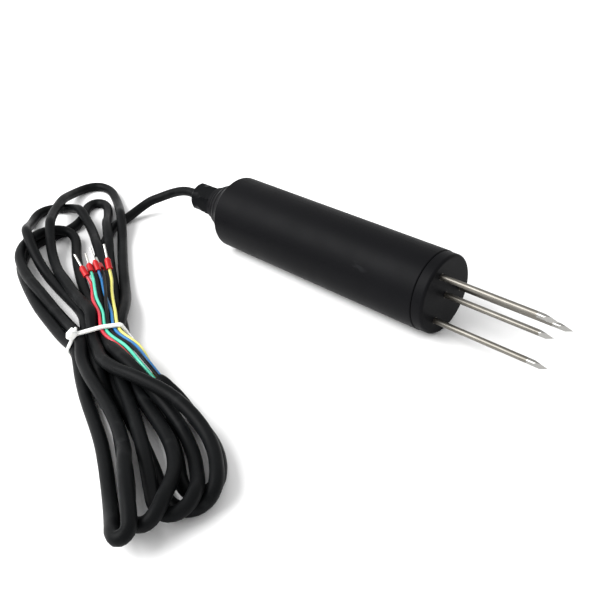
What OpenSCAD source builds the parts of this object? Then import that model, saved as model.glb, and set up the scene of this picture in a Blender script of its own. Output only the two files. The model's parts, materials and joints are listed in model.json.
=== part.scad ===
/* [Housing] */
// Outside diameter of the housing tube
body_d = 42; // [41:0.5:48]
// Front face to the rear edge of the tube
body_len = 144.5; // [140:0.5:180]
// Length of the front cap that shows ahead of the tube
cap_len = 6; // [4:0.5:8]
// Wall of the housing tube
wall = 2.5; // [2:0.1:3]

/* [Needles] */
// Diameter of a needle
needle_d = 3; // [2.5:0.1:3.2]
// Length of the outer needles ahead of the front face
needle_len = 60; // [30:1:90]
// How much shorter the centre needle is
centre_short = 3; // [0:0.5:10]
// Diameter of the circle of the three outer needles
needle_circle = 27; // [24:0.5:28]
// Length of the ground point
point_len = 7; // [4:0.5:10]

/* [Cable gland] */
// Rear edge of the tube to the gland, along the rear cap
cone_len = 19; // [18.5:0.5:22]
// Length of the gland outside the rear cap
gland_len = 18; // [17.5:0.1:18.5]
// Width of the gland's hexagon flange across its flats
flange_af = 16.5; // [16:0.5:18]
// Width of the dome nut across its flats
nut_af = 16; // [15.5:0.5:17]

/* [Cable] */
// Outside diameter of the cable
cable_d = 5.8; // [5:0.1:5.8]
// Outside diameter of one core
core_d = 1.6; // [1.2:0.1:2]
// Height of the tied hank above the surface it lies on
hank_h = 12; // [12:0.5:13]

/* [Hidden] */

$fn = 64;
body_r = body_d / 2;
axis_z = body_r;
bore_r = body_r - wall;
needle_r = needle_d / 2;
root_r = needle_r + 0.25;
cable_r = cable_d / 2;
core_r = core_d / 2;
overall_len = needle_len + body_len + cone_len + gland_len;
front_x = overall_len / 2 - needle_len;

// Depths are measured back from the front face along the body's axis
cone_end = body_len + cone_len;
gland_end = cone_end + gland_len;
seam = 0.4;
slip = 0.1;
plug_depth = 18;
spigot_len = 8.5;
seal_wire = 0.95;
seal_gap = 2.4;
needle_tail = 22;
needle_angles = [114.5, -5.5, -125.5];

// Circuit board: its top and bottom are heights above the body's axis
board_front = 34;
board_rear = 122;
board_w = 32;
board_t = 1.6;
board_up = -3;
board_top = board_up + board_t;
screw_spots = [[40, 12], [40, -12], [116, 12], [116, -12]];
block_depth = 116;
block_pitch = 3.5;
cable_start = 131;

// Gland: depths of its faces
gasket_t = 0.8;
flange_t = 3;
flange_end = cone_end + gasket_t + flange_t;
nut_start = flange_end + 0.3;
cage_bore_r = 4.72;
thread_r = 6.5;
ridge_pitch = 1.5;

// Hank: where its tie is, the way its runs point, and the tie's inside
tie_at = [-48, -126.5];
tie_turn = -33;
tie_w = 29.6;
tie_h = 13;
band_t = 1.2;
band_w = 2.5;
hank_neck_r = 14.4;

// Lead from the gland, straight out, then down to the hank
lead_route = [
  [-120.75, 0, 21], [-125, 0, 21], [-130, 0, 20.8], [-136, -0.3, 19.6], [-142, -1, 17.5],
  [-148, -2.8, 14.8], [-153, -5.5, 12.2], [-157, -9, 10], [-160, -13, 8.2]
];

// Cut end of the jacket, the way that its cores leave it, and the cores' ring inside it
jacket_end = [1, -130, 10.5];
jacket_way = [-0.93, 0.07, 0.36];
core_ring = 1.62;

// The middle core's points before, under and after the tie; the others lie beside it
fan_route = [[-9.5, -129.3, 14.4], [-25, -125, 14], [-43.2, -122.7, 13.2], [-59.3, -113.7, 13.2]];
fan_across = [[-2.6, -1.75, 0, 1.75, 2.6], [-3.9, -2, 0, 2, 3.9],
  [-3.9, -1.95, 0, 1.95, 3.9], [-3.9, -1.95, 0, 1.95, 3.9]];
fan_up = [[-1.3, 0.7, 1.8, 0.7, -1.3], [-0.6, 0.2, 0.6, 0.2, -0.6], [0, 0, 0, 0, 0], [0, 0, 1.4, 0, 0]];

// Per core, from the left: colour, a point beyond the tie, and its ferrule's base and tip
core_ends = [
  ["red", [-73.5, -112, 13.2], [-93, -102, 15.5], [-105.5, -100, 23]],
  ["green", [-74, -109.5, 13.2], [-94, -98.5, 16], [-106, -93, 20]],
  ["black", [-73.5, -104.2, 15.2], [-96, -91, 14], [-108.5, -85.5, 14]],
  ["blue", [-75, -104, 13.2], [-93.5, -94.5, 15.5], [-105, -90.5, 23.5]],
  ["yellow", [-72, -101.5, 13.2], [-89, -90.5, 16.5], [-99, -85.5, 26]]
];
collar_len = 6.5;
collar_r = 1.6;
pin_len = 8;
pin_r = 0.6;

function unit(v) = v / norm(v);
function end_of(list) = list[len(list) - 1];
function bend(a, b, c, d, t) = 0.5 * (2 * b + (c - a) * t + (2 * a - 5 * b + 4 * c - d) * t * t
  + (3 * b - a - 3 * c + d) * t * t * t);
function at_index(list, i) = list[max(0, min(len(list) - 1, i))];
function smooth(list, parts) = concat(
  [for (i = [0:len(list) - 2], k = [0:parts - 1])
    bend(at_index(list, i - 1), list[i], list[i + 1], at_index(list, i + 2), k / parts)],
  [end_of(list)]);
function way(list, i) = unit(at_index(list, i + 1) - at_index(list, i - 1));
function first_side(list) = unit(cross(way(list, 0), abs(way(list, 0)[2]) > 0.9 ? [0, 1, 0] : [0, 0, 1]));
function sides_along(list, i, held) = i == len(list) ? held
  : sides_along(list, i + 1, concat(held, [unit(end_of(held)
    - (end_of(held) * way(list, i)) * way(list, i))]));

// A round tube through the points of a list
module tube(list, radius, sides) {
  across = sides_along(list, 1, [first_side(list)]);
  rings = len(list);
  skin = [for (i = [0:rings - 1], k = [0:sides - 1])
    list[i] + radius * (cos(360 * k / sides) * across[i]
      + sin(360 * k / sides) * cross(way(list, i), across[i]))];
  walls = [for (i = [0:rings - 2], k = [0:sides - 1])
    [i * sides + k, i * sides + (k + 1) % sides,
      (i + 1) * sides + (k + 1) % sides, (i + 1) * sides + k]];
  polyhedron(skin, concat(
    [[for (k = [sides - 1:-1:0]) k]],
    walls,
    [[for (k = [0:sides - 1]) (rings - 1) * sides + k]]), convexity = 6);
}

// Children stand along the body's axis: their Z runs back from the front face, their X is up
module along_axis() translate([front_x, 0, axis_z]) rotate([0, -90, 0]) children();
module turned(outline) along_axis() rotate_extrude() polygon(outline);
module at_depth(depth, y, up) translate([front_x - depth, y, axis_z + up]) children();
module on_board(depth, y) at_depth(depth, y, board_top) children();
module disc(depth, thickness, radius) along_axis() translate([0, 0, depth]) cylinder(thickness, radius, radius);
module slab(length, width, height) translate([-length / 2, -width / 2, 0]) cube([length, width, height]);
module hexagon(depth, thickness, across_flats)
  along_axis() translate([0, 0, depth])
    cylinder(thickness, across_flats / sqrt(3), across_flats / sqrt(3), $fn = 6);
module at_needles() {
  children();
  for (angle = needle_angles)
    along_axis() translate([sin(angle), cos(angle), 0] * needle_circle / 2)
      rotate([0, 90, 0]) translate([-front_x, 0, -axis_z]) children();
}

function arc(cx, cy, radius, from, to, steps) = [for (i = [0:steps])
  [cx + radius * cos(from + (to - from) * i / steps), cy + radius * sin(from + (to - from) * i / steps)]];

module housing_tube() {
  edge = 0.35;
  start = cap_len + seam;
  color([0.1, 0.1, 0.11]) turned([
    [bore_r, start], [body_r - edge, start], [body_r, start + edge],
    [body_r, body_len - edge], [body_r - edge, body_len], [bore_r, body_len]
  ]);
}

module seal_groove(depth) {
  plug_r = bore_r - slip;
  turned([[plug_r - 1.85, depth], [plug_r + 1, depth], [plug_r + 1, depth + seal_gap],
    [plug_r - 1.85, depth + seal_gap]]);
}

module front_cap() {
  plug_r = bore_r - slip;
  rim_r = body_r - 0.3;
  round = 1.5;
  color([0.09, 0.09, 0.1]) difference() {
    turned(concat(
      [[0, 0]],
      arc(rim_r - round, round, round, -90, 0, 6),
      [[rim_r, cap_len], [rim_r - 0.8, cap_len], [rim_r - 0.8, cap_len + seam],
        [plug_r, cap_len + seam], [plug_r, plug_depth], [0, plug_depth]]));
    seal_groove(11);
    at_needles() disc(-1, plug_depth + 2, root_r + 0.02);
  }
}

module seal_ring(depth) turned([for (angle = [0:15:345])
  [bore_r - 0.02 - seal_wire + seal_wire * cos(angle), depth + seal_gap / 2 + seal_wire * sin(angle)]]);
module front_seal_ring() color([0.05, 0.05, 0.05]) seal_ring(11);
module rear_seal_ring() color([0.05, 0.05, 0.05]) seal_ring(body_len - spigot_len + 3);

module rear_cap() {
  plug_r = bore_r - slip;
  lip = body_r - 21;
  color([0.09, 0.09, 0.1]) difference() {
    turned([
      [plug_r - 3, body_len - spigot_len], [plug_r, body_len - spigot_len], [plug_r, body_len],
      [20.1 + lip, body_len], [19.9 + lip, body_len + 0.8], [19.2 + lip, body_len + 1.9],
      [17.9, body_len + 3.3], [15, body_len + 7], [14.5, body_len + 8], [14.3, body_len + 9.2],
      [12.6, body_len + 11.8], [12.2, body_len + 13.6], [10.3, body_len + 15.8], [9.8, cone_end],
      [6.3, cone_end], [6.3, cone_end - 8.5], [10.6, cone_end - 8.5], [12.3, body_len + 6],
      [15.4, body_len + 1]
    ]);
    seal_groove(body_len - spigot_len + 3);
  }
}

// A needle with a three-sided ground point, and a thicker threaded root behind the front face
module needle(length) {
  slope = atan(needle_r / point_len);
  color([0.75, 0.75, 0.77]) difference() {
    union() {
      disc(-length, length + 1, needle_r);
      disc(0, needle_tail, root_r);
    }
    along_axis() for (turn = [0:120:240])
      rotate([0, 0, turn + 40]) translate([0, 0, -length]) rotate([0, slope, 0])
        translate([0, -4, -6]) cube([8, 8, 30]);
  }
}
module outer_needle(angle) along_axis()
  translate([sin(angle), cos(angle), 0] * needle_circle / 2)
    rotate([0, 90, 0]) translate([-front_x, 0, -axis_z]) needle(needle_len);
module needle_centre() needle(needle_len - centre_short);
module needle_upper() outer_needle(needle_angles[0]);
module needle_right() outer_needle(needle_angles[1]);
module needle_left() outer_needle(needle_angles[2]);

nut_t = 2.4;
tag_t = 0.5;
module needle_nuts() color([0.7, 0.7, 0.72]) at_needles() difference() {
  hexagon(plug_depth, nut_t, 6);
  disc(plug_depth - 1, nut_t + 2, root_r + 0.02);
}
module solder_tags() color([0.78, 0.76, 0.68]) at_needles() difference() {
  union() {
    disc(plug_depth + nut_t, tag_t, 3);
    at_depth(plug_depth + nut_t + 3, 0, 2) translate([0, -1, 0]) cube([3, 2, 0.5]);
  }
  disc(plug_depth, nut_t + 2, root_r + 0.02);
}

resin_rear = 27;
module potting_resin() color([0.16, 0.15, 0.13]) difference() {
  disc(plug_depth, resin_rear - plug_depth, bore_r - slip);
  at_needles() disc(plug_depth - 1, 7, 3.6);
  at_needles() at_depth(resin_rear + 1, 0, 2.8) rotate([0, 90, 0]) cylinder(5, 0.8, 0.8);
}

lead_spots = [-9, -3, 3, 9];
needle_spots = [[0, 0], for (angle = needle_angles)
  [cos(angle), sin(angle)] * needle_circle / 2];
lead_order = [1, 0, 3, 2];
module needle_leads() color([0.7, 0.1, 0.1]) for (i = [0:3]) {
  spot = needle_spots[i];
  x_tag = front_x - plug_depth - nut_t - 3.2;
  x_board = front_x - board_front - 2;
  pad_y = lead_spots[lead_order[i]];
  tube(smooth([
    [x_tag, spot[0], axis_z + spot[1] + 2.8],
    [front_x - resin_rear - 1, spot[0], axis_z + spot[1] + 2.8],
    [x_board + 4, (spot[0] + pad_y) / 2, axis_z + spot[1] / 2 + 3.5 + i],
    [x_board, pad_y, axis_z + board_top + 3],
    [x_board - 0.5, pad_y, axis_z + board_top + 0.05]
  ], 3), 0.6, 8);
}

module board_carrier() {
  frame_r = bore_r - 0.2;
  color([0.85, 0.85, 0.82]) difference() {
    union() {
      intersection() {
        union() {
          disc(board_front - 5, 2, frame_r);
          disc(board_rear + 3, 2, frame_r);
        }
        at_depth(80, 0, -frame_r - 1) slab(120, 2 * frame_r, frame_r - 7);
      }
      at_depth((board_front + board_rear) / 2, 0, -9) slab(board_rear - board_front + 8, 24, 2);
      for (spot = screw_spots) at_depth(spot[0], spot[1], -8) cylinder(board_up + 8, 3, 3);
    }
    for (spot = screw_spots) at_depth(spot[0], spot[1], -10) cylinder(10, 1.22, 1.22);
  }
}

module circuit_board() color([0.05, 0.3, 0.16]) difference() {
  at_depth((board_front + board_rear) / 2, 0, board_up) slab(board_rear - board_front, board_w, board_t);
  for (spot = screw_spots) at_depth(spot[0], spot[1], board_up - 1) cylinder(board_t + 2, 1.35, 1.35);
}

module board_screws() color([0.7, 0.7, 0.72]) for (spot = screw_spots)
  on_board(spot[0], spot[1]) difference() {
    union() {
      cylinder(1.5, 2.2, 2.2);
      translate([0, 0, -6]) cylinder(6.5, 1.2, 1.2);
    }
    translate([0, 0, 0.8]) slab(3.4, 0.6, 1);
  }

// A flat chip with a row of pins on two or four sides
module chip(length, width, height, pins, pitch, pin_w, four) {
  slab(length, width, height);
  for (turn = four ? [0, 90] : [0], i = [0:pins - 1])
    rotate([0, 0, turn]) translate([(i - (pins - 1) / 2) * pitch, 0, 0]) slab(pin_w, width + 1.8, 0.5);
}
module microcontroller() color([0.12, 0.12, 0.13]) on_board(70, 0) chip(7, 7, 1.3, 8, 0.8, 0.35, true);
module bus_transceiver() color([0.12, 0.12, 0.13]) on_board(103, 6) chip(5, 4, 1.5, 4, 1.27, 0.45, false);
module voltage_regulator() color([0.13, 0.13, 0.14]) on_board(94, -8) {
  chip(6.5, 3.6, 1.6, 3, 2.3, 0.8, false);
  translate([0, -2.6, 0]) slab(3.2, 1.8, 0.5);
}
module crystal() color([0.78, 0.78, 0.8]) on_board(58, 8) {
  translate([0, -2.8, 0]) cylinder(3.4, 2.2, 2.2);
  translate([0, 2.8, 0]) cylinder(3.4, 2.2, 2.2);
  slab(4.4, 5.6, 3.4);
}
module electrolytic_capacitors() for (y = [-9, 9])
  color([0.62, 0.63, 0.65]) on_board(83, y) {
    slab(6.6, 6.6, 1);
    cylinder(7.4, 3.1, 3.1);
  }
module toroid_inductor() color([0.62, 0.32, 0.12]) on_board(50, -6)
  translate([0, 0, 1.6]) rotate_extrude() translate([3.6, 0]) circle(1.6);
module chip_parts() color([0.62, 0.5, 0.36])
  for (i = [0:3], y = [-12.2, 12.6])
    on_board(64 + 4 * i, y) slab(2, 1.25, 0.7);

block_w = 5 * block_pitch + 1;
module terminal_block() color([0.1, 0.42, 0.2]) on_board(block_depth, 0) difference() {
  slab(7, block_w, 8.5);
  for (i = [-2:2]) {
    translate([0, i * block_pitch, 5]) cylinder(4, 1.3, 1.3);
    translate([-4, i * block_pitch, 2.5]) rotate([0, 90, 0]) cylinder(5, 1, 1);
  }
}
module terminal_screws() color([0.75, 0.75, 0.77]) on_board(block_depth, 0)
  for (i = [-2:2]) translate([0, i * block_pitch, 5]) difference() {
    cylinder(2.6, 1.25, 1.25);
    translate([0, 0, 1.9]) slab(3, 0.5, 1);
  }

// Cores between the terminal block and the cable's inner end
module inner_cores() color([0.75, 0.55, 0.15]) for (i = [-2:2]) {
  angle = 90 - 72 * i;
  end = [front_x - cable_start, core_ring * cos(angle), axis_z + core_ring * sin(angle)];
  entry = [front_x - block_depth - 1.2, i * block_pitch, axis_z + board_top + 2.5];
  tube(smooth([
    entry, entry - [4, 0, 0], (entry + end) / 2 - [1.6, 0, 0], end + [2.4, 0, 0], end + [0.02, 0, 0]
  ], 3), 0.7, 8);
}

module cable_in_gland() color([0.06, 0.06, 0.06])
  disc(cable_start, gland_end - cable_start, cable_r);

module inner_cable_tie() color([0.9, 0.9, 0.88]) difference() {
  union() {
    disc(cable_start + 5, 2.5, cable_r + 1.1);
    at_depth(cable_start + 6.25, 0, cable_r + 0.6) slab(4, 5, 3.2);
  }
  disc(cable_start + 4, 5, cable_r + 0.02);
}

module gland_gasket() color([0.05, 0.05, 0.05]) difference() {
  disc(cone_end, gasket_t, 8.8);
  disc(cone_end - 1, gasket_t + 2, 6.25);
}

module gland_body() color([0.08, 0.08, 0.09]) difference() {
  union() {
    disc(cone_end - 13.5, 13.5 + gasket_t, 6.15);
    hexagon(cone_end + gasket_t, flange_t, flange_af);
    disc(flange_end, 6, thread_r - 0.45);
    for (i = [0:3]) turned([[5, flange_end + 0.6 + i * ridge_pitch],
      [thread_r - 0.5, flange_end + 0.6 + i * ridge_pitch],
      [thread_r, flange_end + 1 + i * ridge_pitch],
      [thread_r - 0.5, flange_end + 1.4 + i * ridge_pitch],
      [5, flange_end + 1.4 + i * ridge_pitch]]);
  }
  disc(cone_end - 14, 30, cable_r + 0.25);
  disc(cone_end - 5.5, 30, cage_bore_r);
}

module gland_locknut() color([0.08, 0.08, 0.09]) difference() {
  hexagon(cone_end - 13, 4.5, 17);
  disc(cone_end - 14, 7, 6.2);
}

module gland_cage() color([0.14, 0.14, 0.15]) difference() {
  turned([
    [4, cone_end - 3], [cage_bore_r - 0.06, cone_end - 3], [cage_bore_r - 0.06, cone_end + 10.2],
    [5.3, cone_end + 10.6], [5.3, cone_end + 11.6], [4.3, cone_end + 14.4], [4, cone_end + 14.4]
  ]);
  along_axis() for (turn = [0:45:135])
    rotate([0, 0, turn]) translate([-7, -0.35, cone_end + 7]) cube([14, 0.7, 10]);
}

module gland_seal() color([0.05, 0.05, 0.05]) difference() {
  disc(cone_end - 2.6, 15.6, 3.96);
  disc(cone_end - 4, 20, cable_r + 0.05);
}

module gland_nut() color([0.08, 0.08, 0.09]) difference() {
  intersection() {
    hexagon(nut_start, gland_end - nut_start, nut_af);
    turned(concat(
      [[0, nut_start], [nut_af / sqrt(3) - 0.5, nut_start], [nut_af / sqrt(3), nut_start + 0.6],
        [nut_af / sqrt(3), nut_start + 3.4], [8.6, nut_start + 5.4], [8.3, nut_start + 7.4]],
      arc(cable_r + 1.3, gland_end - 5, 5, 24, 90, 5),
      [[0, gland_end]]));
  }
  turned([[0, nut_start - 1], [thread_r + 0.15, nut_start - 1], [thread_r + 0.15, cone_end + 11.7],
    [5.4, cone_end + 11.8], [4.38, cone_end + 14.6], [cable_r + 0.4, cone_end + 14.6],
    [cable_r + 0.4, gland_end - 0.9], [cable_r + 1.2, gland_end + 0.1], [0, gland_end + 0.1]]);
}

module cable_lead() color([0.05, 0.05, 0.05]) tube(smooth(lead_route, 2), cable_r, 10);

// The tie's ring, standing across the hank; grow widens it on every side
module tie_ring(grow) translate([tie_at[0], tie_at[1], 0]) rotate([0, 0, tie_turn])
  translate([-band_w / 2 - grow, 0, band_t]) rotate([90, 0, 90]) linear_extrude(band_w + 2 * grow)
    difference() {
      rounded(tie_w + 2 * band_t + 2 * grow, tie_h + 2 * band_t + 2 * grow, 4, -band_t - grow);
      rounded(tie_w - 2 * grow, tie_h - 2 * grow, 3, grow);
    }
module rounded(width, height, radius, base) translate([-width / 2 + radius, base + radius]) {
  translate([0, -radius]) square([width - 2 * radius, height]);
  translate([-radius, 0]) square([width, height - 2 * radius]);
  for (x = [0, width - 2 * radius], y = [0, height - 2 * radius]) translate([x, y]) circle(radius);
}

module lobe(spots) hull() for (spot = spots) translate([spot[0], spot[1]]) circle(spot[2], $fn = 40);
module cable_hank() color([0.06, 0.06, 0.06]) difference() {
  union() {
    linear_extrude(hank_h) {
      lobe([[tie_at[0], tie_at[1], hank_neck_r], [-145, -86, 30], [-172, -48, 42]]);
      lobe([[tie_at[0], tie_at[1], hank_neck_r], [48, -158, 26], [50, -172, 22]]);
    }
    translate([tie_at[0], tie_at[1], hank_h - 1]) rotate([0, 0, tie_turn])
      translate([-12, -11.5, 0]) cube([24, 9, tie_h + band_t - hank_h + 0.7]);
  }
  tie_ring(0.1);
}

module cable_tie() color([0.93, 0.93, 0.9]) {
  tie_ring(0);
  translate([tie_at[0], tie_at[1], 0]) rotate([0, 0, tie_turn])
    translate([-2.3, -tie_w / 2 - 4, tie_h - 5.5]) cube([4.6, 3.4, 5]);
}

function slot_of(name) = [for (i = [0:4]) if (core_ends[i][0] == name) i][0];
function jacket_across() = unit(cross(jacket_way, [0, 0, 1]));
function core_start(slot) = let (angle = 234 - 72 * slot, across = jacket_across())
  jacket_end + core_ring * (cos(angle) * across - sin(angle) * cross(unit(jacket_way), across));
function fan_point(step, slot) = fan_route[step] + [0, 0, fan_up[step][slot]]
  + fan_across[step][slot] * [-sin(tie_turn), cos(tie_turn), 0];
function ferrule_way(slot) = unit(core_ends[slot][3] - core_ends[slot][2]);
function core_route(slot) = smooth(concat(
  [core_start(slot), core_start(slot) + 4 * unit(jacket_way)],
  [for (step = [0:3]) fan_point(step, slot)],
  [core_ends[slot][1], core_ends[slot][2] - 5 * ferrule_way(slot),
    core_ends[slot][2] - 2 * ferrule_way(slot), core_ends[slot][2] + ferrule_way(slot)]), 3);
module core(name) tube(core_route(slot_of(name)), core_r, 8);
module core_yellow() color([0.85, 0.75, 0.1]) core("yellow");
module core_blue() color([0.1, 0.35, 0.8]) core("blue");
module core_black() color([0.05, 0.05, 0.05]) core("black");
module core_green() color([0.1, 0.6, 0.4]) core("green");
module core_red() color([0.8, 0.1, 0.1]) core("red");

module on_ferrule(name) {
  slot = slot_of(name);
  aim = ferrule_way(slot);
  translate(core_ends[slot][2]) rotate([0, acos(aim[2]), atan2(aim[1], aim[0])]) children();
}
module collar(name) color([0.85, 0.08, 0.08]) on_ferrule(name) rotate_extrude()
  polygon([[core_r + 0.06, 0], [collar_r + 0.15, 0], [collar_r, 1.2], [collar_r, collar_len - 1.2],
    [pin_r + 0.35, collar_len], [0, collar_len], [0, 1.6], [core_r + 0.06, 1.6]]);
module pin(name) color([0.8, 0.8, 0.8]) on_ferrule(name) translate([0, 0, collar_len])
  cylinder(pin_len, pin_r, pin_r);
module collar_yellow() collar("yellow");
module collar_blue() collar("blue");
module collar_black() collar("black");
module collar_green() collar("green");
module collar_red() collar("red");
module pin_yellow() pin("yellow");
module pin_blue() pin("blue");
module pin_black() pin("black");
module pin_green() pin("green");
module pin_red() pin("red");

housing_tube();
front_cap();
front_seal_ring();
rear_cap();
rear_seal_ring();
needle_centre();
needle_upper();
needle_right();
needle_left();
needle_nuts();
solder_tags();
potting_resin();
board_carrier();
circuit_board();
board_screws();
microcontroller();
bus_transceiver();
voltage_regulator();
crystal();
electrolytic_capacitors();
toroid_inductor();
chip_parts();
terminal_block();
terminal_screws();
needle_leads();
inner_cores();
inner_cable_tie();
cable_in_gland();
gland_gasket();
gland_body();
gland_locknut();
gland_cage();
gland_seal();
gland_nut();
cable_lead();
cable_hank();
cable_tie();
core_yellow();
core_blue();
core_black();
core_green();
core_red();
collar_yellow();
collar_blue();
collar_black();
collar_green();
collar_red();
pin_yellow();
pin_blue();
pin_black();
pin_green();
pin_red();
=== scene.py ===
"""Soil moisture sensor: a black barrel, four steel needles, and a tied hank of cable with five cores."""
import json
import math

import bmesh
import bpy
import numpy as np
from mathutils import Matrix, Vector


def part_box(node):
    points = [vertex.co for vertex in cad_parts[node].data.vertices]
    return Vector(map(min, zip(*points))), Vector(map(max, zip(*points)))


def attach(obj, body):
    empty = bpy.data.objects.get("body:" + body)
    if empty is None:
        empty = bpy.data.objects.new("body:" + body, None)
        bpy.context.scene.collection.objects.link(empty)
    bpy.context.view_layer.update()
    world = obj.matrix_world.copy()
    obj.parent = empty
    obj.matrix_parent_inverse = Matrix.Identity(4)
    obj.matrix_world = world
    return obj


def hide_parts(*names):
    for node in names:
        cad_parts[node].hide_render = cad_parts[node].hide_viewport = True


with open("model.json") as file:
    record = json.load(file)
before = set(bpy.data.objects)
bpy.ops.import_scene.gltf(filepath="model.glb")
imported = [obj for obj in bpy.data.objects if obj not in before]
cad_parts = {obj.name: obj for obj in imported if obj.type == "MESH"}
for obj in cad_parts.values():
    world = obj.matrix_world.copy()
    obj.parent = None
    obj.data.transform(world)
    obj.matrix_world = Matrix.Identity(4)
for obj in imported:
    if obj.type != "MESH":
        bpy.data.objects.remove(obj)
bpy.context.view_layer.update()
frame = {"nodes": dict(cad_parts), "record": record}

MM = 0.001


# ---------------------------------------------------------------- camera, in metres

LENS = 46.9524
SENSOR_WIDTH = 36
CAMERA_AT = (0.23126, -0.29, 0.21278)
CAMERA_WAY = (-0.5828, 0.6332, -0.5093)


def add_camera():
    lens = bpy.data.cameras.new("camera")
    lens.sensor_width = SENSOR_WIDTH
    lens.lens = LENS
    lens.clip_start = 0.01
    lens.clip_end = 50
    camera = bpy.data.objects.new("camera", lens)
    camera.location = CAMERA_AT
    camera.rotation_euler = Vector(CAMERA_WAY).to_track_quat("-Z", "Y").to_euler()
    bpy.context.scene.collection.objects.link(camera)
    bpy.context.scene.camera = camera


add_camera()


# ---------------------------------------------------------------- cable route, in millimetres

JACKET_D = 5.8
JACKET_R = JACKET_D / 2

# The tie: its middle on the table, the way across its strands, the height of their lowest row, and the
# distance from one row to the next.
TIE_AT = np.array([-48.0, -126.5])
TIE_TURN = math.radians(-33)
ACROSS = np.array([-math.sin(TIE_TURN), math.cos(TIE_TURN)])
TIE_FLOOR = 4.2
TIE_ROW = 5.02

# The cable's lead from the gland down to the table, then its cut end and the way from there to its cores.
LEAD = [
    (-120.75, 0, 21), (-125, 0, 21), (-130, 0, 20.8), (-136, -0.3, 19.6), (-142, -1, 17.5),
    (-148, -2.8, 14.8), (-153, -5.5, 12.2), (-157, -9, 10), (-160, -13, 8.2),
]
JACKET_END = np.array([1.0, -130.0, 10.5])
JACKET_WAY = np.array([-0.93, 0.07, 0.36])

# The hank, run by run along the cable. Each run says when it is laid, its place in the tie before it
# (row, and place across), and its points on the table.
RUNS = [
    (0, None, [
        (-156, -41), (-143, -56), (-132, -68), (-118, -80), (-101, -91), (-83, -101), (-69, -110)]),
    (2, (0, 0), [
        (-33, -134), (-18, -141), (-4, -146), (8, -150), (20, -155), (32, -160), (43, -165), (53, -169),
        (61, -169), (66, -164), (66, -157), (61, -151), (54, -145)]),
    (14, None, [
        (45, -140), (35, -137), (24, -136), (13, -137), (4, -139), (-4, -140), (-13, -141), (-22, -140),
        (-31, -138), (-40, -133)]),
    (11, (1, -0.5), [
        (-63, -119), (-78, -115), (-96, -110), (-115, -104), (-133, -97), (-150, -89), (-166, -79),
        (-183, -66), (-199, -51), (-213, -35), (-221, -20), (-219, -10), (-208, -8), (-190, -15),
        (-169, -27), (-149, -40), (-130, -54), (-109, -69), (-87, -84), (-65, -100)]),
    (7, (1, 1.5), [
        (-21, -130), (-8, -136), (5, -141), (18, -145), (30, -149), (40, -154), (48, -160), (54, -167),
        (59, -174), (63, -180)]),
    (4, None, [
        (63, -186), (56, -187), (49, -183), (41, -177), (32, -171), (20, -164), (8, -157), (-5, -151),
        (-18, -145), (-33, -138)]),
    (10, (0, -1), [
        (-80, -115), (-102, -110), (-122, -106), (-138, -103), (-153, -99), (-168, -93), (-183, -84),
        (-198, -73), (-208, -62), (-208, -52), (-197, -46), (-178, -49), (-158, -56), (-140, -65),
        (-120, -76), (-97, -89), (-76, -102)]),
    (3, (0, 1), [
        (-28, -132), (-14, -139), (0, -146), (13, -152), (25, -158), (36, -164), (46, -170), (54, -175),
        (62, -177), (66, -172), (65, -165), (60, -159)]),
    (8, None, [
        (53, -154), (45, -148), (35, -143), (23, -139), (11, -137), (-2, -136), (-14, -134),
        (-27, -131)]),
    (9, (1, 0.5), [
        (-80, -109), (-101, -100), (-123, -89), (-142, -78), (-156, -69), (-165, -67), (-170, -74),
        (-170, -85), (-165, -96), (-155, -106), (-141, -113), (-126, -118), (-111, -121), (-98, -123),
        (-84, -125)]),
    (13, (1, -1.5), [
        (-42, -141), (-29, -146), (-13, -151), (3, -156), (17, -162), (28, -168)]),
    (6, None, [
        (38, -175), (47, -181), (55, -186), (61, -190), (65, -194), (61, -197), (53, -192), (43, -186),
        (33, -180), (21, -173), (8, -166), (-8, -159), (-22, -153), (-38, -145)]),
    (5, (0, -2), [
        (-68, -134), (-83, -131), (-99, -127), (-116, -122), (-134, -116), (-150, -109), (-162, -99),
        (-169, -89), (-171, -78), (-171, -67), (-175, -55), (-184, -44), (-194, -34), (-195, -26),
        (-187, -25), (-175, -32), (-154, -47), (-134, -61), (-111, -76), (-87, -91), (-63, -104)]),
    (1, (0, 2), [
        (-22, -128), (-4, -135), (14, -141), (30, -147), (42, -154), (51, -160), (58, -161), (62, -156),
        (60, -149), (54, -143), (47, -138)]),
    (12, None, [(37, -134), (25, -131), (14, -129), (7, -129), (1, -130)]),
]

# Laying: the step between places along the cable, the weights that soften its bends, how many places
# along it count as the same strand, and the lengths over which it rises over another strand, keeps the
# height of its place in the tie, and is lifted towards its cut end. It is lifted only within END_LENGTH
# of that end, and LEAD_PLACES join the lead to the hank.
CABLE_STEP = 3.0
BEND_WEIGHTS = [math.comb(8, k) for k in range(9)]
SAME_STRAND = 8
RISE_LENGTH = 22
TIE_HOLD_LENGTH = 16
END_LIFT_LENGTH = 22
END_LENGTH = 70
LEAD_PLACES = 8

# Settling: its rounds, how far everything sinks in each, what part of its way back each place is then
# pulled, and which pairs of places are watched: those near each other, but not along the cable.
SETTLE_ROUNDS = 160
SETTLE_SINK = 0.05
SETTLE_RETURN = [0.04, 0.04, 0.012]
PAIR_NEAR = 12
PAIR_ALONG = 6


def arc_length(line):
    return np.concatenate([[0], np.cumsum(np.linalg.norm(np.diff(line, axis=0), axis=1))])


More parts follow.
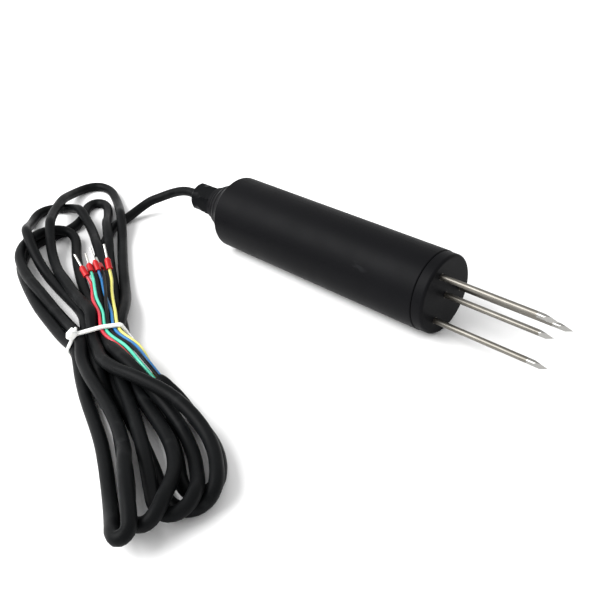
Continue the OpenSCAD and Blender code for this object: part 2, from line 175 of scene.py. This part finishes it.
def smooth_line(points, step):
    """A Catmull-Rom curve through the points, at even steps along its length."""
    p = np.array(points, float)
    p = np.vstack([2 * p[0] - p[1], p, 2 * p[-1] - p[-2]])
    pieces = []
    for i in range(1, len(p) - 2):
        a, b, c, d = p[i - 1:i + 3]
        knots = [max(np.linalg.norm(v), 1e-6) ** 0.5 for v in (b - a, c - b, d - c)]
        t = np.cumsum([0] + knots)
        u = np.linspace(t[1], t[2], 12, endpoint=False)[:, None]
        ab = ((t[1] - u) * a + (u - t[0]) * b) / (t[1] - t[0])
        bc = ((t[2] - u) * b + (u - t[1]) * c) / (t[2] - t[1])
        cd = ((t[3] - u) * c + (u - t[2]) * d) / (t[3] - t[2])
        abc = ((t[2] - u) * ab + (u - t[0]) * bc) / (t[2] - t[0])
        bcd = ((t[3] - u) * bc + (u - t[1]) * cd) / (t[3] - t[1])
        pieces.append(((t[2] - u) * abc + (u - t[1]) * bcd) / (t[2] - t[1]))
    line = np.vstack(pieces + [p[-2][None]])
    run = arc_length(line)
    at = np.linspace(0, run[-1], round(run[-1] / step) + 1)
    return np.array([np.interp(at, run, line[:, k]) for k in range(3)]).T


def running_mean(values, weights):
    """The weighted mean of each value and its neighbours."""
    half = len(weights) // 2
    padded = np.concatenate([[values[0]] * half, values, [values[-1]] * half])
    return np.convolve(padded, np.array(weights) / sum(weights), "valid")


def tie_slot(row, place):
    """The middle of a strand's place inside the tie."""
    spot = TIE_AT + ACROSS * (place * JACKET_D)
    return (spot[0], spot[1], TIE_FLOOR + row * TIE_ROW)


def hank_route():
    """The route's points, when each one is laid, and which of them are in the tie."""
    points = list(LEAD)
    order = [0] * len(LEAD)
    slots = []
    for turn, place, run in RUNS:
        if place:
            slots.append(len(points))
            points.append(tie_slot(*place))
            order.append(turn)
        points += [(x, y, JACKET_R) for x, y in run]
        order += [turn] * len(run)
    points[-1] = tuple(JACKET_END)
    return points, order, slots


def softened(line):
    """The line with its small kinks smoothed out: less and less towards its two ends, and not at them."""
    index = np.arange(len(line))
    soft = np.column_stack([running_mean(line[:, k], BEND_WEIGHTS) for k in range(3)])
    free = np.clip((index - 12) / 8, 0, 1) * np.clip((len(line) - 1 - index) / 8, 0, 1)
    return line + (soft - line) * free[:, None]


def places_of(points, line):
    """The index on the line that is nearest to each point, at most 60 places on from the last one."""
    found = []
    for p in points:
        first = found[-1] if found else 0
        away = np.linalg.norm(line[first:first + 60, :2] - p[:2], axis=1)
        found.append(first + int(np.argmin(away)))
    return found


def height_needed(line, z, mine, under):
    """How high each place of a run has to be to lie over the runs that are under it."""
    need = np.full(len(mine), JACKET_R)
    if len(under):
        gap = np.linalg.norm(line[mine][:, None, :2] - line[under][None, :, :2], axis=2)
        crosses = (gap < 0.98 * JACKET_D) & (np.abs(mine[:, None] - under[None]) >= SAME_STRAND)
        over = z[under][None] + np.sqrt(np.maximum(JACKET_D ** 2 - gap ** 2, 0))
        need = np.maximum(need, np.where(crosses, over, 0).max(1))
    return need


def gentle_height(s, need):
    """Heights at the lengths s that rise and fall gently to reach the heights needed."""
    spread = np.exp(-((s[:, None] - s[None]) / RISE_LENGTH) ** 2 / 2)
    spread /= spread.sum(1)[:, None]
    level = spread @ need
    for _ in range(40):
        level += 1.2 * (spread @ np.maximum(need - level, 0))
    return level


def lay_hank():
    """The cable's centreline: its runs are laid one after another, each over those before it."""
    points, order, slots = hank_route()
    line = softened(smooth_line(points, CABLE_STEP))
    places = places_of(points, line)
    lead_end = places[len(LEAD) - 1]
    turn_of = np.zeros(len(line), int)
    for i in range(1, len(points)):
        turn_of[places[i - 1]:places[i] + 1] = order[i - 1] if i in slots else order[i]

    run = arc_length(line * [1, 1, 0])
    z = np.full(len(line), JACKET_R)
    laid = np.zeros(len(line), bool)
    for turn in range(max(order) + 1):
        mine = np.nonzero(turn_of == turn)[0]
        s = run[mine]
        z[mine] = gentle_height(s, height_needed(line, z, mine, np.nonzero(laid)[0]))
        for i in slots:
            near = np.exp(-((s - run[places[i]]) / TIE_HOLD_LENGTH) ** 2)
            z[mine] = z[mine] * (1 - near) + points[i][2] * near
        laid[mine] = True

    z[:lead_end + 1] = line[:lead_end + 1, 2]
    join = lead_end + LEAD_PLACES
    z[lead_end:join] = np.interp(np.arange(LEAD_PLACES), [0, LEAD_PLACES], [z[lead_end], z[join]])
    to_end = run[-1] - run
    near = np.where(run > run[-1] - END_LENGTH, np.exp(-(to_end / END_LIFT_LENGTH) ** 2), 0)
    z = z * (1 - near) + np.maximum(z, JACKET_END[2]) * near
    z[lead_end:] = running_mean(z, [1, 2, 3, 2, 1])[lead_end:]
    return settle(np.column_stack([line[:, :2], z]), [places[i] for i in slots], lead_end)


def watched_pairs(line):
    low, high = np.nonzero(np.linalg.norm(line[:, None] - line[None], axis=2) < PAIR_NEAR)
    apart = high - low > PAIR_ALONG
    return low[apart], high[apart]


def push_apart(line, low, high):
    """Moves each pair of places, one in low and one in high, apart if they overlap, less sideways."""
    across = line[high] - line[low]
    gap = np.linalg.norm(across, axis=1)
    tight = gap < JACKET_D
    a, b, across, gap = low[tight], high[tight], across[tight], gap[tight]
    way = across / np.maximum(gap, 1e-6)[:, None] * [1, 1, 1.6]
    way /= np.linalg.norm(way, axis=1)[:, None]
    push = 0.5 * (JACKET_D - gap)[:, None] * way
    total = np.zeros_like(line)
    pushes = np.zeros(len(line))
    np.add.at(total, b, push)
    np.add.at(total, a, -push)
    np.add.at(pushes, b, 1)
    np.add.at(pushes, a, 1)
    line += total / np.maximum(pushes, 1)[:, None]
    line[:, 2] = np.maximum(line[:, 2], JACKET_R)


def settle(start, held, lead_end):
    """Strands that press into each other move apart, and the rest sinks on to what is under it.

    The places in held, which are in the tie, are locked: each round takes them half the way back.
    """
    line = start.copy()
    lock = np.zeros(len(line))
    for at in held:
        lock = np.maximum(lock, np.exp(-(np.abs(np.arange(len(line)) - at) / 2.0) ** 2))
    lock = 0.5 * lock[:, None]
    for step in range(SETTLE_ROUNDS):
        if step % 10 == 0:
            low, high = watched_pairs(line)
        line[:, 2] -= SETTLE_SINK
        line += (start - line) * SETTLE_RETURN
        for _ in range(2):
            shift = line - start
            shift[1:-1] += 0.3 * (0.5 * (shift[:-2] + shift[2:]) - shift[1:-1])
            line = start + shift
        for _ in range(3):
            push_apart(line, low, high)
        line = line * (1 - lock) + start * lock
        line[:lead_end] = start[:lead_end]
        line[-2:] = start[-2:]
    return line


# ---------------------------------------------------------------- core routes, in millimetres

CORE_D = 1.6

# The ring that the cores' middles lie on in the jacket, and the angle of the first one on it.
CORE_RING = 1.62
CORE_TURN = 234

# The cores' shared way from the jacket to past the tie, how far each core is across it and up from it,
# and which of its points is in the tie.
FAN_ROUTE = np.array([
    [-9.5, -129.3, 14.4], [-25, -125, 14], [-43.2, -122.7, 13.2], [-59.3, -113.7, 13.2]])
FAN_ACROSS = [[-2.6, -1.75, 0, 1.75, 2.6], [-3.9, -2, 0, 2, 3.9], [-3.9, -1.95, 0, 1.95, 3.9],
              [-3.9, -1.95, 0, 1.95, 3.9]]
FAN_UP = [[-1.3, 0.7, 1.8, 0.7, -1.3], [-0.6, 0.2, 0.6, 0.2, -0.6], [0, 0, 0, 0, 0], [0, 0, 1.4, 0, 0]]
IN_TIE = 2

# Each core's own points: one on its way, its ferrule's base and its ferrule's tip.
CORE_ENDS = {
    "red": [[-73.5, -112, 13.2], [-93, -102, 15.5], [-105.5, -100, 23]],
    "green": [[-74, -109.5, 13.2], [-94, -98.5, 16], [-106, -93, 20]],
    "black": [[-73.5, -104.2, 15.2], [-96, -91, 14], [-108.5, -85.5, 14]],
    "blue": [[-75, -104, 13.2], [-93.5, -94.5, 15.5], [-105, -90.5, 23.5]],
    "yellow": [[-72, -101.5, 13.2], [-89, -90.5, 16.5], [-99, -85.5, 26]],
}
CORE_STEP = 2.0


def unit(v):
    return np.array(v, float) / np.linalg.norm(v)


def core_points(number, colour):
    """A core's points from the cut end of the jacket to inside its ferrule."""
    beyond, base, tip = (np.array(p, float) for p in CORE_ENDS[colour])
    angle = math.radians(CORE_TURN - 360 / len(CORE_ENDS) * number)
    up = np.array([0.0, 0.0, 1.0])
    across = unit(np.cross(JACKET_WAY, up))
    start = JACKET_END + CORE_RING * (
        math.cos(angle) * across - math.sin(angle) * np.cross(unit(JACKET_WAY), across))
    points = [start, start + 4 * unit(JACKET_WAY)]
    for middle, aside, above in zip(FAN_ROUTE, FAN_ACROSS, FAN_UP):
        points.append(middle + above[number] * up + aside[number] * np.array([ACROSS[0], ACROSS[1], 0]))
    out = unit(tip - base)
    return points + [beyond, base - 5 * out, base - 2 * out, base + out]


# ---------------------------------------------------------------- pieces

# The tie's band, how many steps it is drawn in round the strands, and the step that its head is on.
BAND_T = 1.2
BAND_W = 2.5
BAND_STEPS = 144
HEAD_STEP = 54


def link(name, data):
    piece = bpy.data.objects.new(name, data)
    bpy.context.scene.collection.objects.link(piece)
    return piece


def cord_tube(name, points, diameter, roundness):
    """A round cord along points in millimetres."""
    curve = bpy.data.curves.new(name, "CURVE")
    curve.dimensions = "3D"
    curve.resolution_u = 3
    curve.bevel_depth = diameter / 2 * MM
    curve.bevel_resolution = roundness
    curve.use_fill_caps = True
    spline = curve.splines.new("BEZIER")
    spline.bezier_points.add(len(points) - 1)
    for knot, p in zip(spline.bezier_points, points):
        knot.co = [v * MM for v in p]
        knot.handle_left_type = "AUTO"
        knot.handle_right_type = "AUTO"
    shape = link(name + "_shape", curve)
    view = bpy.context.evaluated_depsgraph_get()
    mesh = bpy.data.meshes.new_from_object(shape.evaluated_get(view))
    bpy.data.objects.remove(shape)
    return link(name, mesh)


def mesh_piece(name, bm, bevel=0.0, segments=2, smooth=True):
    """An object from mesh code in millimetres, with its sharp edges rounded."""
    bmesh.ops.scale(bm, vec=(MM, MM, MM), verts=bm.verts)
    bmesh.ops.recalc_face_normals(bm, faces=bm.faces)
    mesh = bpy.data.meshes.new(name)
    bm.to_mesh(mesh)
    bm.free()
    piece = link(name, mesh)
    for face in mesh.polygons:
        face.use_smooth = smooth
    if bevel:
        edge = piece.modifiers.new("edges", "BEVEL")
        edge.width = bevel * MM
        edge.segments = segments
        edge.limit_method = "ANGLE"
        edge.angle_limit = math.radians(35)
        edge.harden_normals = True
    return piece


def add_cable():
    """The whole cable, from the gland to its cut end."""
    line = lay_hank()
    points = np.vstack([line[:-1:2], line[-1:]])
    piece = cord_tube("cable_jacket", points, JACKET_D, 8)
    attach(piece, "sensor")
    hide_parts("cable_lead", "cable_hank")
    return piece


def add_core(number, colour):
    """A core beyond the cut end of the jacket."""
    line = smooth_line(core_points(number, colour), CORE_STEP)
    piece = cord_tube("wire_" + colour, line, CORE_D, 4)
    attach(piece, "sensor")
    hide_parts("core_" + colour)
    return piece


def tie_outline():
    """The tie's inside face round what it holds: its places at even angles, and the way out at each."""
    strands = []
    for _, place, _ in RUNS:
        if place:
            strands.append((place[1] * JACKET_D, TIE_FLOOR + place[0] * TIE_ROW, JACKET_R + 0.15))
    cores_across = float((FAN_ROUTE[IN_TIE][:2] - TIE_AT) @ ACROSS)
    for aside in FAN_ACROSS[IN_TIE]:
        strands.append((cores_across + aside, FAN_ROUTE[IN_TIE][2], CORE_D / 2 + 0.1))
    found = []
    for k in range(BAND_STEPS):
        angle = 2 * math.pi * k / BAND_STEPS
        way = np.array([math.cos(angle), math.sin(angle)])
        reach = [across * way[0] + up * way[1] + radius for across, up, radius in strands]
        across, up, radius = strands[int(np.argmax(reach))]
        found.append((np.array([across, up]) + radius * way, way))
    return found


def in_tie(across, up, along):
    """A point beside the tie's middle, across it, above the table and along the strands."""
    spot = TIE_AT + ACROSS * across + np.array([ACROSS[1], -ACROSS[0]]) * along
    return (spot[0], spot[1], up)


def tie_band():
    bm = bmesh.new()
    rings = []
    for spot, way in tie_outline():
        outer = spot + way * BAND_T
        corners = [(spot, -1), (outer, -1), (outer, 1), (spot, 1)]
        rings.append([bm.verts.new(in_tie(p[0], p[1], side * BAND_W / 2)) for p, side in corners])
    for ring, following in zip(rings, rings[1:] + rings[:1]):
        for k in range(4):
            bm.faces.new([ring[k], ring[(k + 1) % 4], following[(k + 1) % 4], following[k]])
    return mesh_piece("tie_band", bm, 0.3)


def tie_box(name, out, aside, size, bevel):
    """A rounded block on the tie, out from where the head is and aside along the band."""
    spot, way = tie_outline()[HEAD_STEP]
    side = np.array([-way[1], way[0]])
    middle = spot + way * out + side * aside
    bm = bmesh.new()
    for i in (-1, 1):
        for j in (-1, 1):
            for k in (-1, 1):
                p = middle + way * (i * size[0] / 2) + side * (j * size[1] / 2)
                bm.verts.new(in_tie(p[0], p[1], k * size[2] / 2))
    bmesh.ops.convex_hull(bm, input=bm.verts)
    bmesh.ops.dissolve_limit(bm, angle_limit=0.01, verts=bm.verts, edges=bm.edges)
    return mesh_piece(name, bm, bevel, 3)


def add_tie():
    """The cable tie: its band, its head and the end of its tail."""
    band = tie_band()
    head = tie_box("tie_head", 2.0, 0, (3.6, 4.6, 4.6), 0.6)
    tail = tie_box("tie_tail", 2.3, -2.9, (1.1, 1.8, BAND_W), 0.25)
    for piece in (band, head, tail):
        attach(piece, "sensor")
    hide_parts("cable_tie")
    return [band, head, tail]


cable = add_cable()
wires = {colour: add_core(number, colour) for number, colour in enumerate(CORE_ENDS)}
tie_pieces = add_tie()


# ---------------------------------------------------------------- materials

class Finish:
    """A material's nodes, in metres on the object's own axes. Colours are sRGB, 0 to 255."""

    def __init__(self, name, roughness, metallic=0.0, specular=0.5):
        self.material = bpy.data.materials.new(name)
        self.material.use_nodes = True
        self.tree = self.material.node_tree
        self.shader = self.tree.nodes["Principled BSDF"]
        self.set(self.shader, Roughness=roughness, Metallic=metallic, Specular_IOR_Level=specular)
        self.place = self.tree.nodes.new("ShaderNodeTexCoord").outputs["Object"]

    def feed(self, socket, value):
        """Gives an input a plain value or another node's output."""
        if isinstance(value, bpy.types.NodeSocket):
            self.tree.links.new(value, socket)
        else:
            socket.default_value = value

    def set(self, node, **values):
        for key, value in values.items():
            self.feed(node.inputs[key.replace("_", " ")], value)

    def node(self, kind, output, props=None, **values):
        node = self.tree.nodes.new("ShaderNode" + kind)
        for key, value in (props or {}).items():
            setattr(node, key, value)
        self.set(node, **values)
        return node.outputs[output]

    def stretched(self, scale, turn=(0, 0, 0)):
        return self.node("Mapping", "Vector", Vector=self.place, Scale=scale, Rotation=turn)

    def noise(self, scale, detail, place=None):
        return self.node("TexNoise", "Fac", Vector=place or self.place, Scale=scale, Detail=detail,
                         Roughness=0.55)

    def span(self, value, low, high, to_low, to_high):
        """value, from low to high, turned into to_low to to_high."""
        return self.node("MapRange", "Result", Value=value, From_Min=low, From_Max=high,
                         To_Min=to_low, To_Max=to_high)

    def maths(self, operation, a, b):
        node = self.tree.nodes.new("ShaderNodeMath")
        node.operation = operation
        self.feed(node.inputs[0], a)
        self.feed(node.inputs[1], b)
        return node.outputs[0]

    def mix(self, amount, a, b):
        """Colour a, going to colour b as amount goes from 0 to 1."""
        node = self.tree.nodes.new("ShaderNodeMix")
        node.data_type = "RGBA"
        for number, value in ((0, amount), (6, a), (7, b)):
            self.feed(node.inputs[number], value)
        return node.outputs[2]

    def axis(self, letter):
        return self.node("SeparateXYZ", letter, Vector=self.place)

    def bump(self, height, strength, distance):
        return self.node("Bump", "Normal", Height=height, Strength=strength, Distance=distance)


def tone(r, g, b):
    """An sRGB colour as the linear one that the shaders use."""
    linear = [((v / 255 + 0.055) / 1.055) ** 2.4 if v > 10 else v / 255 / 12.92 for v in (r, g, b)]
    return (*linear, 1.0)


def moulded(name, dark, light, roughness, specular, grain=2600, blotch=30, bump=0.25, coat=0.0):
    """Moulded plastic or rubber: faint blotches, a fine grain, and handling marks in the gloss."""
    f = Finish(name, roughness, specular=specular)
    blotches = f.span(f.noise(blotch, 5), 0.3, 0.7, 0, 1)
    speckle = f.span(f.noise(grain, 2), 0.35, 0.65, 0, 1)
    tint = f.mix(blotches, tone(*dark), tone(*light))
    f.set(f.shader, Base_Color=f.mix(f.maths("MULTIPLY", speckle, 0.35), tint, tone(*light)),
          Roughness=f.span(f.noise(blotch * 3, 6), 0.3, 0.7, roughness - 0.06, roughness + 0.07),
          Normal=f.bump(speckle, bump, 0.00006), Coat_Weight=coat, Coat_Roughness=0.3)
    return f


def metal(name, dark, light, roughness, grain=900):
    """Plain metal with a fine grain and faint stains."""
    f = Finish(name, roughness, metallic=1.0)
    lines = f.span(f.noise(grain, 6), 0.3, 0.7, 0, 1)
    stain = f.span(f.noise(60, 4), 0.35, 0.7, 0, 1)
    f.set(f.shader, Base_Color=f.mix(f.maths("MULTIPLY", stain, 0.6), tone(*light), tone(*dark)),
          Roughness=f.span(lines, 0, 1, roughness - 0.07, roughness + 0.09),
          Normal=f.bump(lines, 0.2, 0.00003))
    return f


def housing_finish():
    """Satin black plastic with a fine grain, faint lengthwise draw marks and a few light scuffs."""
    f = Finish("housing", 0.42, specular=0.04)
    cloud = f.span(f.noise(24, 5), 0.3, 0.7, 0, 1)
    drawn = f.span(f.noise(420, 4, f.stretched((0.06, 1, 1))), 0.35, 0.65, 0, 1)
    grain = f.span(f.noise(3000, 2), 0.35, 0.65, 0, 1)
    scratch = f.span(f.noise(150, 8, f.stretched((0.25, 1, 1), (0.4, 0.2, 0.6))), 0.70, 0.74, 0, 1)
    base = f.mix(cloud, tone(11, 11, 13), tone(14, 14, 16))
    base = f.mix(f.maths("MULTIPLY", grain, 0.3), base, tone(17, 18, 19))
    gloss = f.span(f.noise(70, 6), 0.3, 0.7, 0.38, 0.47)
    height = f.maths("ADD", f.maths("MULTIPLY", drawn, 0.4), grain)
    f.set(f.shader, Base_Color=f.mix(f.maths("MULTIPLY", scratch, 0.25), base, tone(40, 41, 43)),
          Roughness=f.maths("ADD", gloss, f.maths("MULTIPLY", grain, 0.05)),
          Normal=f.bump(height, 0.18, 0.00005))
    return f


def needle_finish():
    """Drawn stainless steel, darker towards the cap, with a bright three-sided ground point."""
    f = Finish("needle_steel", 0.42, metallic=1.0)
    lines = f.span(f.noise(1500, 6, f.stretched((0.02, 1, 1))), 0.3, 0.7, 0, 1)
    along = f.axis("X")
    face_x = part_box("front_cap")[1].x
    tip_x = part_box("needle_upper")[1].x
    near_cap = f.span(along, face_x, face_x + 0.016, 1, 0)
    ground = f.span(along, tip_x - 0.0102, tip_x - 0.0098, 0, 1)
    stain = f.span(f.noise(180, 4), 0.4, 0.75, 0, 1)
    base = f.mix(lines, tone(104, 101, 95), tone(136, 133, 127))
    base = f.mix(f.maths("MULTIPLY", stain, 0.35), base, tone(92, 87, 78))
    base = f.mix(f.maths("MULTIPLY", near_cap, 0.7), base, tone(58, 55, 50))
    f.set(f.shader, Base_Color=f.mix(ground, base, tone(150, 149, 146)),
          Roughness=f.span(ground, 0, 1, 0.42, 0.24),
          Normal=f.bump(lines, 0.15, 0.00003))
    return f


def cable_finish():
    """Matt black jacket with a faint dry bloom, a fine grain and rubbed patches."""
    f = Finish("cable_jacket", 0.46, specular=0.05)
    bloom = f.span(f.noise(45, 5), 0.35, 0.7, 0, 1)
    grain = f.span(f.noise(2400, 3), 0.3, 0.7, 0, 1)
    rubbed = f.span(f.noise(110, 7), 0.58, 0.72, 0, 1)
    base = f.mix(bloom, tone(8, 9, 10), tone(12, 13, 14))
    base = f.mix(f.maths("MULTIPLY", grain, 0.3), base, tone(26, 27, 28))
    f.set(f.shader, Base_Color=f.mix(f.maths("MULTIPLY", rubbed, 0.25), base, tone(46, 48, 48)),
          Roughness=f.span(f.noise(90, 5), 0.3, 0.7, 0.38, 0.5),
          Normal=f.bump(grain, 0.25, 0.00005))
    return f


def nylon_finish():
    """White nylon: slightly see-through, with a moulded grain."""
    f = moulded("tie_nylon", (226, 228, 224), (243, 244, 241), 0.36, 0.45, 1800, 60, 0.12)
    f.set(f.shader, Subsurface_Weight=0.35, Subsurface_Radius=(1.0, 0.95, 0.9), Subsurface_Scale=0.0012)
    return f


def core_finish(colour, dark, light):
    """Glossy thin insulation."""
    return moulded("insulation_" + colour, dark, light, 0.34, 0.5, 3200, 120, 0.1, 0.15)


def board_finish():
    """Green solder mask over copper tracks, with a fine woven ground."""
    f = Finish("board_green", 0.35)
    tracks = f.node("TexBrick", "Fac", Vector=f.place, Scale=170.0, Mortar_Size=0.09, Mortar_Smooth=0.1,
                    Brick_Width=1.9, Row_Height=0.55)
    weave = f.span(f.noise(1500, 2), 0.3, 0.7, 0, 1)
    base = f.mix(weave, tone(14, 74, 42), tone(20, 88, 50))
    f.set(f.shader, Base_Color=f.mix(tracks, base, tone(30, 118, 66)),
          Normal=f.bump(f.maths("ADD", tracks, f.maths("MULTIPLY", weave, 0.2)), 0.3, 0.00004),
          Coat_Weight=0.4, Coat_Roughness=0.15)
    return f


def winding_finish():
    """Lacquered copper wire wound side by side."""
    f = Finish("copper", 0.28, metallic=1.0)
    turns = f.node("TexWave", "Fac", {"wave_type": "BANDS", "bands_direction": "X"}, Vector=f.place,
                   Scale=420.0, Distortion=1.5, Detail=1.0)
    f.set(f.shader, Base_Color=f.mix(turns, tone(120, 56, 26), tone(206, 122, 66)),
          Normal=f.bump(turns, 0.6, 0.0002), Coat_Weight=0.5)
    return f


def inner_core_finish():
    """The five cores side by side in the housing, each in its own colour."""
    f = moulded("inner_cores", (150, 20, 22), (178, 28, 30), 0.35, 0.5)
    low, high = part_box("inner_cores")
    step = f.span(f.axis("Y"), low.y, high.y, 0, 1)
    ramp = f.tree.nodes.new("ShaderNodeValToRGB")
    ramp.color_ramp.interpolation = "CONSTANT"
    stops = [(0.0, (178, 28, 30)), (0.2, (40, 150, 110)), (0.4, (24, 24, 26)), (0.6, (32, 96, 170)),
             (0.8, (214, 204, 96))]
    for place, colour in stops[2:]:
        ramp.color_ramp.elements.new(place)
    for element, (place, colour) in zip(ramp.color_ramp.elements, stops):
        element.position = place
        element.color = tone(*colour)
    f.set(ramp, Fac=step)
    dirt = f.span(f.noise(200, 3), 0.3, 0.7, 0, 0.25)
    f.set(f.shader, Base_Color=f.mix(dirt, ramp.outputs["Color"], tone(20, 20, 20)))
    return f


finishes = {
    "housing_black": housing_finish(),
    "seal_rubber": moulded("seal_rubber", (18, 18, 18), (28, 28, 28), 0.6, 0.3),
    "needle_steel": needle_finish(),
    "fastener_steel": metal("fastener_steel", (120, 118, 112), (188, 188, 184), 0.3),
    "tag_tin": metal("tag_tin", (150, 146, 134), (204, 202, 194), 0.34),
    "resin": moulded("resin", (30, 26, 22), (44, 39, 34), 0.2, 0.5, 900, 90, 0.3, 0.5),
    "carrier_white": moulded("carrier_white", (214, 214, 208), (230, 230, 226), 0.5, 0.4),
    "board_green": board_finish(),
    "chip_black": moulded("chip_black", (26, 26, 28), (38, 38, 40), 0.55, 0.4, 5000, 200, 0.3),
    "can_metal": metal("can_metal", (150, 150, 150), (206, 206, 208), 0.25),
    "copper": winding_finish(),
    "chip_ceramic": moulded("chip_ceramic", (150, 120, 84), (176, 146, 104), 0.45, 0.5, 4000, 400, 0.2),
    "block_green": moulded("block_green", (22, 104, 54), (32, 124, 66), 0.4, 0.5),
    "lead_red": core_finish("lead", (150, 20, 22), (178, 28, 30)),
    "gland_black": moulded("gland_black", (7, 8, 9), (11, 12, 14), 0.36, 0.04, 2600, 60, 0.3),
    "cable_black": cable_finish(),
    "tie_white": nylon_finish(),
    "core_yellow": core_finish("yellow", (196, 190, 84), (214, 208, 112)),
    "core_blue": core_finish("blue", (10, 88, 146), (22, 112, 172)),
    "core_black": moulded("insulation_black", (8, 8, 9), (14, 14, 15), 0.4, 0.12, 3200, 120, 0.1),
    "core_green": core_finish("green", (48, 168, 138), (84, 198, 168)),
    "core_red": core_finish("red", (166, 22, 40), (196, 34, 52)),
    "collar_red": moulded("collar_red", (158, 6, 12), (186, 12, 22), 0.38, 0.3, 2600, 150, 0.15),
    "pin_tin": metal("pin_tin", (150, 148, 142), (214, 213, 208), 0.3, 1600),
}
by_node = {"inner_cores": inner_core_finish()}


def paint(piece, finish):
    piece.data.materials.clear()
    piece.data.materials.append(finish.material)


slot_of = {part["node"]: part["material_slot"] for part in frame["record"]["subparts"]}
for name, node in frame["nodes"].items():
    paint(node, by_node.get(name, finishes[slot_of[name]]))
paint(cable, finishes["cable_black"])
for colour, wire in wires.items():
    paint(wire, finishes["core_" + colour])
for piece in tie_pieces:
    paint(piece, finishes["tie_white"])


# ---------------------------------------------------------------- floor and light

def add_floor():
    bm = bmesh.new()
    bmesh.ops.create_circle(bm, cap_ends=True, segments=96, radius=6000)
    bmesh.ops.translate(bm, vec=(0, 0, -0.1), verts=bm.verts)
    floor = mesh_piece("floor", bm, smooth=False)
    f = Finish("floor", 0.9, specular=0.1)
    f.set(f.shader, Base_Color=f.mix(f.noise(3, 2), tone(244, 244, 244), tone(246, 246, 246)))
    paint(floor, f)


def add_softbox(name, place, aim, width, height, power):
    light = bpy.data.lights.new(name, "AREA")
    light.shape = "RECTANGLE"
    light.size = width
    light.size_y = height
    light.energy = power
    lamp = link(name, light)
    lamp.location = place
    lamp.rotation_euler = (Vector(aim) - Vector(place)).to_track_quat("-Z", "Y").to_euler()


def add_world(strength):
    world = bpy.data.worlds.new("world")
    bpy.context.scene.world = world
    world.use_nodes = True
    world.node_tree.nodes["Background"].inputs["Color"].default_value = (1, 1, 1, 1)
    world.node_tree.nodes["Background"].inputs["Strength"].default_value = strength


add_floor()
add_world(0.92)
add_softbox("softbox_key", (-0.55, -0.85, 0.85), (-0.04, -0.06, 0), 1.2, 0.9, 28)
bpy.context.scene.view_settings.view_transform = "Standard"
